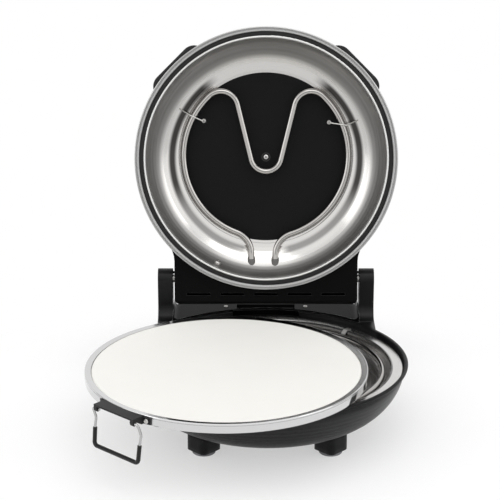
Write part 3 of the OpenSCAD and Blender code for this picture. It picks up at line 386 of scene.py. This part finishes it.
def tone_bands(finish, outer, stops):
    """Multiply a spun finish by a tone that depends on the distance from its axis; stops are (metres, tone)."""
    tree = finish.node_tree
    kinds = {node.type: node for node in tree.nodes}
    base_colour = kinds["BSDF_PRINCIPLED"].inputs["Base Color"]
    plain = base_colour.links[0].from_socket
    share = add(tree, "ShaderNodeMath", operation="DIVIDE")
    share.inputs[1].default_value = outer
    bands = ramp(tree, [(radius / outer, tone) for radius, tone in stops])
    banded = add(tree, "ShaderNodeMix", data_type="RGBA", blend_type="MULTIPLY")
    banded.inputs["Factor"].default_value = 1.0
    tree.links.new(kinds["GROUP"].outputs["Radius"], share.inputs[0])
    tree.links.new(share.outputs["Value"], bands.inputs["Fac"])
    tree.links.new(plain, banded.inputs["A"])
    tree.links.new(bands.outputs["Color"], banded.inputs["B"])
    tree.links.new(banded.outputs["Result"], base_colour)


print("spun finish ready")

# %% The spun metals of this machine
LID, TRAY, BASE = (lid_centre, lid_axis), (tray_centre, upright), (base_centre, upright)
bright_reflector = spun_metal("bright_reflector", (0.6, 0.588, 0.573), (0.1, 0.15), 0.05, *LID)
lid_chrome = spun_metal("lid_chrome", (0.78, 0.78, 0.775), (0.26, 0.32), 0.0, *LID)
# the bright line and the darker bands of the ring are painted highlight and painted shade
tone_bands(lid_chrome, 0.165, [(0.1, 0.3), (0.1559, 0.35), (0.1567, 1.0), (0.1578, 1.0), (0.1587, 0.6),
                               (0.165, 0.72)])
disc_fixing = spun_metal("disc_fixing", (0.62, 0.61, 0.6), (0.2, 0.3), 0.0, *LID)
tone_bands(disc_fixing, 0.007, [(0.0, 0.8), (0.0012, 0.75), (0.0018, 1.0), (0.0028, 1.0), (0.0034, 0.08),
                                (0.007, 0.14)])
hoop_chrome = spun_metal("hoop_chrome", (0.66, 0.66, 0.66), (0.09, 0.14), 0.05, *TRAY)
reflector_steel = spun_metal("reflector_steel", (0.68, 0.67, 0.66), (0.2, 0.28), 0.1, *BASE)
print("spun metals:", [finish.name for finish in (bright_reflector, lid_chrome, disc_fixing, hoop_chrome)])

# %% [markdown]
# ## The bowl: a painted reflection of the tube, and a satin wall with painted shade
#
# A dark ring is painted into the colour of the bowl beside the hot tube. It is a painted reflection of the tube, not
# a stain. It fades where the tube turns away, at the top and between its two ends. The steep outer wall was drawn
# further by the press and is satin, while the floor keeps its polish, and a darker band of painted shade lies in the
# colour of that wall. Both are masks made from the distance to the axis, moved a little by how high a point lies,
# and each mask is a colour ramp, so its edge is as soft as the ramp makes it.


# %% Node group: place in the bowl
WALL_INNER, WALL_OUTER = 0.100, 0.150   # the share runs from 0 to 1 between these distances from the axis


def bowl_group():
    group = bpy.data.node_groups.new("place_in_bowl", "ShaderNodeTree")
    sockets(group, "INPUT", Centre=(0.0, 0.0, 0.0), Up=(0.0, 0.0, 1.0), Radius=0.0, Shift=0.0)
    sockets(group, "OUTPUT", Height=0.0, Share=0.0)
    given, out = group.nodes.new("NodeGroupInput"), group.nodes.new("NodeGroupOutput")
    place = add(group, "ShaderNodeTexCoord")
    arm = add(group, "ShaderNodeVectorMath", operation="SUBTRACT")
    rise = add(group, "ShaderNodeVectorMath", operation="DOT_PRODUCT")
    level = add(group, "ShaderNodeMath", operation="DIVIDE")
    moved = add(group, "ShaderNodeMath", operation="MULTIPLY_ADD")
    share = add(group, "ShaderNodeMapRange", From_Min=WALL_INNER, From_Max=WALL_OUTER)
    height = add(group, "ShaderNodeMapRange", From_Min=-1.0)
    join = group.links.new
    join(place.outputs["Object"], arm.inputs[0])
    join(given.outputs["Centre"], arm.inputs[1])
    join(arm.outputs["Vector"], rise.inputs[0])
    join(given.outputs["Up"], rise.inputs[1])
    join(rise.outputs["Value"], level.inputs[0])
    join(given.outputs["Radius"], level.inputs[1])
    join(level.outputs["Value"], moved.inputs[0])
    join(given.outputs["Shift"], moved.inputs[1])
    join(given.outputs["Radius"], moved.inputs[2])
    join(moved.outputs["Value"], share.inputs["Value"])
    join(level.outputs["Value"], height.inputs["Value"])
    join(share.outputs["Result"], out.inputs["Share"])
    join(height.outputs["Result"], out.inputs["Height"])
    return group


IN_BOWL = bowl_group()
print("group:", IN_BOWL.name)


# %% Where a point of the bowl lies
REFLECTION_RING_SHIFT, WALL_SHIFT = 0.002, 0.0055  # each mask lies this far in at the top of the bowl, and out at its foot
lid_up = Vector((1.0, 0.0, 0.0)).cross(lid_axis)
bowl_tree = bright_reflector.node_tree
bowl_nodes = {node.type: node for node in bowl_tree.nodes}
at_reflection_ring, at_wall = (add(bowl_tree, "ShaderNodeGroup", node_tree=IN_BOWL) for _ in range(2))
for node, shift in ((at_reflection_ring, REFLECTION_RING_SHIFT), (at_wall, WALL_SHIFT)):
    node.inputs["Centre"].default_value = tuple(lid_centre)
    node.inputs["Up"].default_value = tuple(lid_up)
    node.inputs["Shift"].default_value = shift
    bowl_tree.links.new(bowl_nodes["GROUP"].outputs["Radius"], node.inputs["Radius"])
join = bowl_tree.links.new
print("up along the bowl:", [round(v, 4) for v in lid_up])

# %% The painted reflection ring of the tube and the dip of the floor beside the disc
# a dark ring of painted reflection of the tube, mixed into the colour of the bowl
painted_tube_reflection = ramp(bowl_tree, [(0.20, 0.0), (0.30, 0.95), (0.37, 0.95), (0.46, 0.0)], "EASE")
where = ramp(bowl_tree, [(0.006, 0.0), (0.016, 0.6), (0.2, 0.65), (0.37, 1.0), (0.86, 1.0), (0.935, 0.0)], "EASE")
floor_dip = ramp(bowl_tree, [(0.12, 1.0), (0.24, 0.0)])
flatter = add(bowl_tree, "ShaderNodeBump", Strength=1.0, Distance=0.0004)
reflection_ring_mask = add(bowl_tree, "ShaderNodeMath", operation="MULTIPLY")
# mixes the painted reflection, a dark colour, into the bowl
painted_reflection_mix = add(bowl_tree, "ShaderNodeMix", data_type="RGBA")
painted_reflection_mix.inputs["B"].default_value = (0.018, 0.017, 0.016, 1.0)
join(at_reflection_ring.outputs["Share"], painted_tube_reflection.inputs["Fac"])
join(at_reflection_ring.outputs["Height"], where.inputs["Fac"])
join(painted_tube_reflection.outputs["Color"], reflection_ring_mask.inputs[0])
join(where.outputs["Color"], reflection_ring_mask.inputs[1])
join(reflection_ring_mask.outputs["Value"], painted_reflection_mix.inputs["Factor"])
join(at_reflection_ring.outputs["Share"], floor_dip.inputs["Fac"])
join(floor_dip.outputs["Color"], flatter.inputs["Height"])
join(flatter.outputs["Normal"], bowl_nodes["BUMP"].inputs["Normal"])
print("stain:", [round(stop.position, 2) for stop in painted_tube_reflection.color_ramp.elements])

# %% The satin wall with its painted shade, and the lip with its painted highlight
LIP_FROM, LIP_AT = 0.1466, 0.1476       # the rolled lip gets a painted highlight, a brighter colour, outside these distances from the axis
SATIN = 0.42                            # roughness of the wall
wall = ramp(bowl_tree, [(0.45, 0.0), (0.68, 1.0)], "EASE")
# a darker band of painted shade, multiplied into the colour of the outer wall
wall_painted_shade = ramp(bowl_tree, [(0.44, 1.0), (0.54, 0.92), (0.70, 0.40), (0.78, 0.37), (0.86, 0.56), (0.95, 0.95)],
                 "EASE")
wall_shaded = add(bowl_tree, "ShaderNodeMix", data_type="RGBA", blend_type="MULTIPLY")
wall_shaded.inputs["Factor"].default_value = 1.0
softer = add(bowl_tree, "ShaderNodeMix", data_type="FLOAT")
softer.inputs["B"].default_value = SATIN
lip = add(bowl_tree, "ShaderNodeMapRange", interpolation_type="SMOOTHSTEP", From_Min=LIP_FROM, From_Max=LIP_AT)
# the brighter colour of the lip is a painted highlight
lip_painted_highlight = add(bowl_tree, "ShaderNodeMix", data_type="RGBA")
lip_painted_highlight.inputs["B"].default_value = (0.7, 0.7, 0.69, 1.0)
join(at_wall.outputs["Share"], wall.inputs["Fac"])
join(at_wall.outputs["Share"], wall_painted_shade.inputs["Fac"])
join(bowl_nodes["MIX"].outputs["Result"], wall_shaded.inputs["A"])
join(wall_painted_shade.outputs["Color"], wall_shaded.inputs["B"])
join(wall_shaded.outputs["Result"], painted_reflection_mix.inputs["A"])
join(bowl_nodes["GROUP"].outputs["Radius"], lip.inputs["Value"])
join(lip.outputs["Result"], lip_painted_highlight.inputs["Factor"])
join(painted_reflection_mix.outputs["Result"], lip_painted_highlight.inputs["A"])
join(lip_painted_highlight.outputs["Result"], bowl_nodes["BSDF_PRINCIPLED"].inputs["Base Color"])
join(wall.outputs["Color"], softer.inputs["Factor"])
join(bowl_nodes["GROUP"].outputs["Roughness"], softer.inputs["A"])
join(softer.outputs["Result"], bowl_nodes["BSDF_PRINCIPLED"].inputs["Roughness"])
print("nodes in the bowl's finish:", len(bowl_tree.nodes))

# %% [markdown]
# ## Wires, tubes and fixings
#
# The element tubes are drawn steel, bright but faintly clouded by handling. Screws and rivets are zinc plated.
# A noise in object space moves the roughness and the tone a little, so no two look quite the same.


# %% Finish: drawn and plated metals
def drawn_metal(name, colour, rough):
    """A metal with a slow cloud in its tone and a span of roughness."""
    finish, tree, shader = principled(name, Metallic=1.0)
    grain = add(tree, "ShaderNodeGroup", node_tree=GRAIN)
    grain.inputs["Size"].default_value = 1500.0
    grain.inputs["Patch Size"].default_value = 60.0
    grain.inputs["Low"].default_value, grain.inputs["High"].default_value = rough
    tone = add(tree, "ShaderNodeMix", data_type="RGBA")
    tone.inputs["A"].default_value = (*[c * 0.9 for c in colour], 1.0)
    tone.inputs["B"].default_value = (*colour, 1.0)
    join = tree.links.new
    join(grain.outputs["Height"], tone.inputs["Factor"])
    join(tone.outputs["Result"], shader.inputs["Base Color"])
    join(grain.outputs["Roughness"], shader.inputs["Roughness"])
    return finish


element_steel = drawn_metal("element_steel", (0.46, 0.445, 0.43), (0.1, 0.16))
fixing_steel = drawn_metal("fixing_steel", (0.6, 0.59, 0.575), (0.24, 0.36))
wire_chrome = drawn_metal("wire_chrome", (0.5, 0.5, 0.5), (0.08, 0.14))
can_steel = drawn_metal("can_steel", (0.62, 0.62, 0.61), (0.3, 0.42))
print("metals:", [m.name for m in bpy.data.materials if "steel" in m.name or "chrome" in m.name])

# %% [markdown]
# ## The stone, the ceramic bushings and the lamps
#
# The stone is fine baked clay, off-white, with a faint mottle and pores too small to see as holes. A slow noise
# gives the mottle and a fine one gives the pores.


# %% Finish: stone, ceramic and lamp
def clay(name, colour, shade, pores, bump):
    """A dull mineral with a mottle between two colours, pores per metre and a strength of bump."""
    finish, tree, shader = principled(name, Specular_IOR_Level=0.35)
    place = add(tree, "ShaderNodeTexCoord")
    mottle = add(tree, "ShaderNodeTexNoise", Scale=26.0, Detail=5.0)
    pore = add(tree, "ShaderNodeTexNoise", Scale=pores, Detail=3.0)
    tone = add(tree, "ShaderNodeMix", data_type="RGBA")
    tone.inputs["A"].default_value = (*shade, 1.0)
    tone.inputs["B"].default_value = (*colour, 1.0)
    rough = add(tree, "ShaderNodeMapRange", To_Min=0.75, To_Max=0.9)
    relief = add(tree, "ShaderNodeBump", Strength=bump, Distance=0.0001)
    join = tree.links.new
    join(place.outputs["Object"], mottle.inputs["Vector"])
    join(place.outputs["Object"], pore.inputs["Vector"])
    join(mottle.outputs["Fac"], tone.inputs["Factor"])
    join(tone.outputs["Result"], shader.inputs["Base Color"])
    join(pore.outputs["Fac"], rough.inputs["Value"])
    join(rough.outputs["Result"], shader.inputs["Roughness"])
    join(pore.outputs["Fac"], relief.inputs["Height"])
    join(relief.outputs["Normal"], shader.inputs["Normal"])
    return finish


stone = clay("stone", (0.86, 0.85, 0.815), (0.83, 0.82, 0.785), 1600.0, 0.3)
bushing_ceramic = clay("bushing_ceramic", (0.7, 0.66, 0.58), (0.62, 0.58, 0.5), 900.0, 0.3)
smoked_ceramic = clay("smoked_ceramic", (0.16, 0.155, 0.15), (0.1, 0.097, 0.094), 900.0, 0.3)
lamp_red, lamp_tree, lamp_shader = principled("lamp_red", Transmission_Weight=0.3, Roughness=0.15)
lamp_tint = add(lamp_tree, "ShaderNodeTexNoise", Scale=300.0)
lamp_mix = add(lamp_tree, "ShaderNodeMix", data_type="RGBA")
lamp_mix.inputs["A"].default_value = (0.5, 0.03, 0.02, 1.0)
lamp_mix.inputs["B"].default_value = (0.62, 0.05, 0.03, 1.0)
lamp_tree.links.new(lamp_tint.outputs["Fac"], lamp_mix.inputs["Factor"])
lamp_tree.links.new(lamp_mix.outputs["Result"], lamp_shader.inputs["Base Color"])
print("stone, ceramic and lamp ready")

# %% [markdown]
# ## Dress the parts
#
# Each CAD part keeps its mesh and gets its finish in the first material slot. The record names the slot of every
# part, and the few parts that need their own centre of spinning are listed by name.

# %% Give every part its finish
by_slot = {
    **blacks, "bright_reflector": bright_reflector, "reflector_steel": reflector_steel,
    "element_steel": element_steel, "fixing_steel": fixing_steel, "can_steel": can_steel,
    "stone": stone, "bushing_ceramic": bushing_ceramic, "lamp_red": lamp_red, "chrome_trim": wire_chrome,
}
by_node = {"lid_ring": lid_chrome, "disc_screw": disc_fixing, "tray_hoop": hoop_chrome,
           "hinge_post_left": blacks["post_black"], "hinge_post_right": blacks["post_black"],
           "upper_bushings": smoked_ceramic}
slot_of = {item["node"]: item["material_slot"] for item in frame["record"]["subparts"]}
for name, part in frame["nodes"].items():
    part.data.materials.clear()
    part.data.materials.append(by_node.get(name, by_slot[slot_of[name]]))
print("dressed:", len(frame["nodes"]))

# %% [markdown]
# ## Printed marks round the two knobs
#
# The controls sit on the back of the hinge housing. A printed ring of strokes tells how far each knob is turned:
# a wedge that grows for the heat, and strokes for the minutes. Print has almost no thickness, so each stroke is one
# flat face a twentieth of a millimetre above the cover. The places come from the axes of the two knob joints.

# %% Finish: white print
print_white, print_tree, print_shader = principled("print_white", Roughness=0.5, Specular_IOR_Level=0.3)
print_place = add(print_tree, "ShaderNodeTexCoord")
print_grain = add(print_tree, "ShaderNodeTexNoise", Scale=2200.0, Detail=2.0)
print_tone = add(print_tree, "ShaderNodeMix", data_type="RGBA")
print_tone.inputs["A"].default_value = (0.55, 0.55, 0.54, 1.0)
print_tone.inputs["B"].default_value = (0.78, 0.78, 0.77, 1.0)
print_tree.links.new(print_place.outputs["Object"], print_grain.inputs["Vector"])
print_tree.links.new(print_grain.outputs["Fac"], print_tone.inputs["Factor"])
print_tree.links.new(print_tone.outputs["Result"], print_shader.inputs["Base Color"])
print("print:", print_white.name)


# %% Where a point of a dial lies
KNOBS = ("temperature_knob", "timer_knob")
knob_axis = {joint["child"]: joint for joint in frame["record"]["behaviour"]["joints"] if joint["child"] in KNOBS}


def on_dial(knob, turn_deg, radius, above):
    """A point beside a knob, at that turn from rest and radius, above the point of its joint."""
    joint = knob_axis[knob]
    axis = Vector(joint["axis"]).normalized()
    across = Vector((1.0, 0.0, 0.0))
    up = across.cross(axis)
    phi = math.radians(turn_deg)
    return Vector(joint["pos_m"]) + axis * above - up * radius * math.cos(phi) - across * radius * math.sin(phi)


def flat_face(bm, knob, corners, above):
    """One face of print from corners given as (turn, radius)."""
    bm.faces.new([bm.verts.new(on_dial(knob, turn, radius, above)) for turn, radius in corners])


print("knobs turn about:", {knob: joint["pos_m"] for knob, joint in knob_axis.items()})


# %% Marks on the cover and on the knobs
ON_COVER, ON_KNOB = -0.00044, 0.01534   # the print along the knob's axis, from the point of its joint, in metres
MARK_INNER = 0.0192                     # where the strokes start
MARK_HALF = 1.1                         # half the width of a stroke, in degrees
POINTER = [(-4.5, 0.0066), (4.5, 0.0066), (2.6, 0.0114), (-2.6, 0.0114)]


def dial_marks(knob, turns, outer_radius):
    """A ring of strokes on the cover, each as long as its turn says."""
    bm = bmesh.new()
    for turn in turns:
        left, right, outer = turn - MARK_HALF, turn + MARK_HALF, outer_radius(turn)
        flat_face(bm, knob, [(left, MARK_INNER), (right, MARK_INNER), (right, outer), (left, outer)], ON_COVER)
    bmesh.ops.recalc_face_normals(bm, faces=bm.faces)
    return place_mesh(knob + "_marks", bm, print_white, "lid", smooth=False)


dial_marks("temperature_knob", range(0, 271, 9), lambda turn: 0.0200 + 0.0030 * turn / 270)
dial_marks("timer_knob", range(0, 301, 10), lambda turn: 0.0224 if turn % 50 == 0 else 0.0208)
for knob in KNOBS:
    line = bmesh.new()
    flat_face(line, knob, POINTER, ON_KNOB)
    bmesh.ops.recalc_face_normals(line, faces=line.faces)
    place_mesh(knob + "_pointer", line, print_white, knob, smooth=False)

# %% [markdown]
# ## The table and the light
#
# The object stands on a seamless white sweep: a floor that curves up into a wall. One large soft box hangs above
# and in front, and two weaker ones fill the sides, so shadows are short and pale. In a catalogue picture the paper
# is printed pure white. More light would do that too, but it would burn out the stone, so the paper's material
# mixes in a plain white for rays that look at it, fully at some distance and by half beside the object, where the
# shadow has to stay. The room is a world whose brightness depends only on the angle from the photographer's side:
# dark where the camera stands, bright around it, and dimmer behind. Polished metal shows little more than its
# room, so these few tones shape the bands in the bowl of the lid.

# %% White sweep: the mesh
FRONT, BEND, BEND_RADIUS, TOP, HALF_WIDTH = -6.0, 1.6, 1.2, 5.0, 5.0    # the paper from the side, in metres
BEND_STEPS = 12
profile = [(FRONT, 0.0), (BEND, 0.0)]
for step in range(1, BEND_STEPS + 1):
    turn = step * math.pi / (2 * BEND_STEPS)
    profile.append((BEND + BEND_RADIUS * math.sin(turn), BEND_RADIUS - BEND_RADIUS * math.cos(turn)))
profile.append((BEND + BEND_RADIUS, TOP))
sweep = bmesh.new()
rows = [[sweep.verts.new((x, y, z)) for y, z in profile] for x in (-HALF_WIDTH, HALF_WIDTH)]
for i in range(len(profile) - 1):
    sweep.faces.new((rows[0][i], rows[0][i + 1], rows[1][i + 1], rows[1][i]))
sweep_mesh = bpy.data.meshes.new("sweep")
sweep.to_mesh(sweep_mesh)
sweep.free()
for face in sweep_mesh.polygons:
    face.use_smooth = True
print("sweep:", len(sweep_mesh.polygons), "faces")

# %% White sweep: the paper
WHITE_FROM, WHITE_AT = 0.2, 0.46        # the paper turns pure white between these distances from the object
WHITE_NEAR = 0.5                        # and beside the object it is half white already, so shadows stay pale
paper, paper_tree, paper_shader = principled("paper_white", Roughness=0.9, Specular_IOR_Level=0.05)
paper_place = add(paper_tree, "ShaderNodeTexCoord")
paper_fibre = add(paper_tree, "ShaderNodeTexNoise", Scale=900.0, Detail=2.0)
paper_tone = add(paper_tree, "ShaderNodeMix", data_type="RGBA")
paper_tone.inputs["A"].default_value = (0.92, 0.92, 0.92, 1.0)
paper_tone.inputs["B"].default_value = (0.94, 0.94, 0.94, 1.0)
away = add(paper_tree, "ShaderNodeVectorMath", operation="LENGTH")
white = add(paper_tree, "ShaderNodeMapRange", interpolation_type="SMOOTHSTEP", From_Min=WHITE_FROM, From_Max=WHITE_AT)
at_least = add(paper_tree, "ShaderNodeMath", operation="MAXIMUM")
at_least.inputs[1].default_value = WHITE_NEAR
when_seen = add(paper_tree, "ShaderNodeMath", operation="MULTIPLY")
glow = add(paper_tree, "ShaderNodeEmission", Color=(1.0, 1.0, 1.0, 1.0))
blend = add(paper_tree, "ShaderNodeMixShader")
link = paper_tree.links.new
link(paper_place.outputs["Object"], paper_fibre.inputs["Vector"])
link(paper_fibre.outputs["Fac"], paper_tone.inputs["Factor"])
link(paper_tone.outputs["Result"], paper_shader.inputs["Base Color"])
link(paper_place.outputs["Object"], away.inputs[0])
link(away.outputs["Value"], white.inputs["Value"])
link(white.outputs["Result"], at_least.inputs[0])
link(at_least.outputs["Value"], when_seen.inputs[0])
link(looked_at(paper_tree), when_seen.inputs[1])
link(when_seen.outputs["Value"], blend.inputs["Fac"])
link(paper_shader.outputs["BSDF"], blend.inputs[1])
link(glow.outputs["Emission"], blend.inputs[2])
link(blend.outputs["Shader"], paper_tree.nodes["Material Output"].inputs["Surface"])
sweep_mesh.materials.append(paper)
floor = bpy.data.objects.new("sweep", sweep_mesh)
scene.collection.objects.link(floor)
print("paper:", paper.name)


# %% Lights
def soft_box(name, where, aim, size, watts):
    """A rectangular lamp that points at a place, with its width and height in metres."""
    lamp = bpy.data.lights.new(name, "AREA")
    lamp.shape = "RECTANGLE"
    lamp.size, lamp.size_y = size
    lamp.energy = watts
    box = bpy.data.objects.new(name, lamp)
    box.location = where
    box.rotation_euler = (Vector(aim) - Vector(where)).to_track_quat("-Z", "Y").to_euler()
    scene.collection.objects.link(box)
    return box


soft_box("key_box", (0.3, -0.6, 2.4), (0, 0, 0.1), (1.8, 1.8), watts=11.0)
soft_box("left_box", (-2.2, -0.8, 1.1), (0, 0, 0.2), (1.2, 1.6), watts=6.0)
soft_box("right_box", (2.2, -0.6, 1.1), (0, 0, 0.2), (1.2, 1.6), watts=6.0)

# %% Room
ROOM_LIGHT = 1.0
FRONT_RISE = math.radians(8)            # the front of the room, where the photographer stands, lies this far up
# brightness of the room by the angle in degrees from its front
ROOM_TONES = [(0, 0.05), (6, 0.05), (13, 1.2), (34, 1.3), (66, 1.3), (80, 0.6), (110, 0.5), (180, 0.7)]
HORIZON = 0.01                          # below it the white paper goes on, for the rays that look at it
world = bpy.data.worlds.new("studio")
scene.world = world
world.use_nodes = True
room = world.node_tree
background = room.nodes["Background"]
background.inputs["Strength"].default_value = ROOM_LIGHT
way = add(room, "ShaderNodeTexCoord")
towards = add(room, "ShaderNodeVectorMath", operation="DOT_PRODUCT")
towards.inputs[1].default_value = (0.0, -math.cos(FRONT_RISE), math.sin(FRONT_RISE))
angle = add(room, "ShaderNodeMath", operation="ARCCOSINE")
share = add(room, "ShaderNodeMath", operation="DIVIDE")
share.inputs[1].default_value = math.pi
tones = ramp(room, [(degrees / 180, grey) for degrees, grey in ROOM_TONES])
upward = add(room, "ShaderNodeSeparateXYZ")
below = add(room, "ShaderNodeMath", operation="LESS_THAN")
below.inputs[1].default_value = HORIZON
paper_share = add(room, "ShaderNodeMath", operation="MULTIPLY")
with_paper = add(room, "ShaderNodeMix", data_type="RGBA")
with_paper.inputs["B"].default_value = (1.0, 1.0, 1.0, 1.0)
link = room.links.new
link(way.outputs["Generated"], towards.inputs[0])
link(towards.outputs["Value"], angle.inputs[0])
link(angle.outputs["Value"], share.inputs[0])
link(share.outputs["Value"], tones.inputs["Fac"])
link(way.outputs["Generated"], upward.inputs[0])
link(upward.outputs["Z"], below.inputs[0])
link(below.outputs["Value"], paper_share.inputs[0])
link(looked_at(room), paper_share.inputs[1])
link(paper_share.outputs["Value"], with_paper.inputs["Factor"])
link(tones.outputs["Color"], with_paper.inputs["A"])
link(with_paper.outputs["Result"], background.inputs["Color"])
print("room:", world.name, len(ROOM_TONES), "tones")
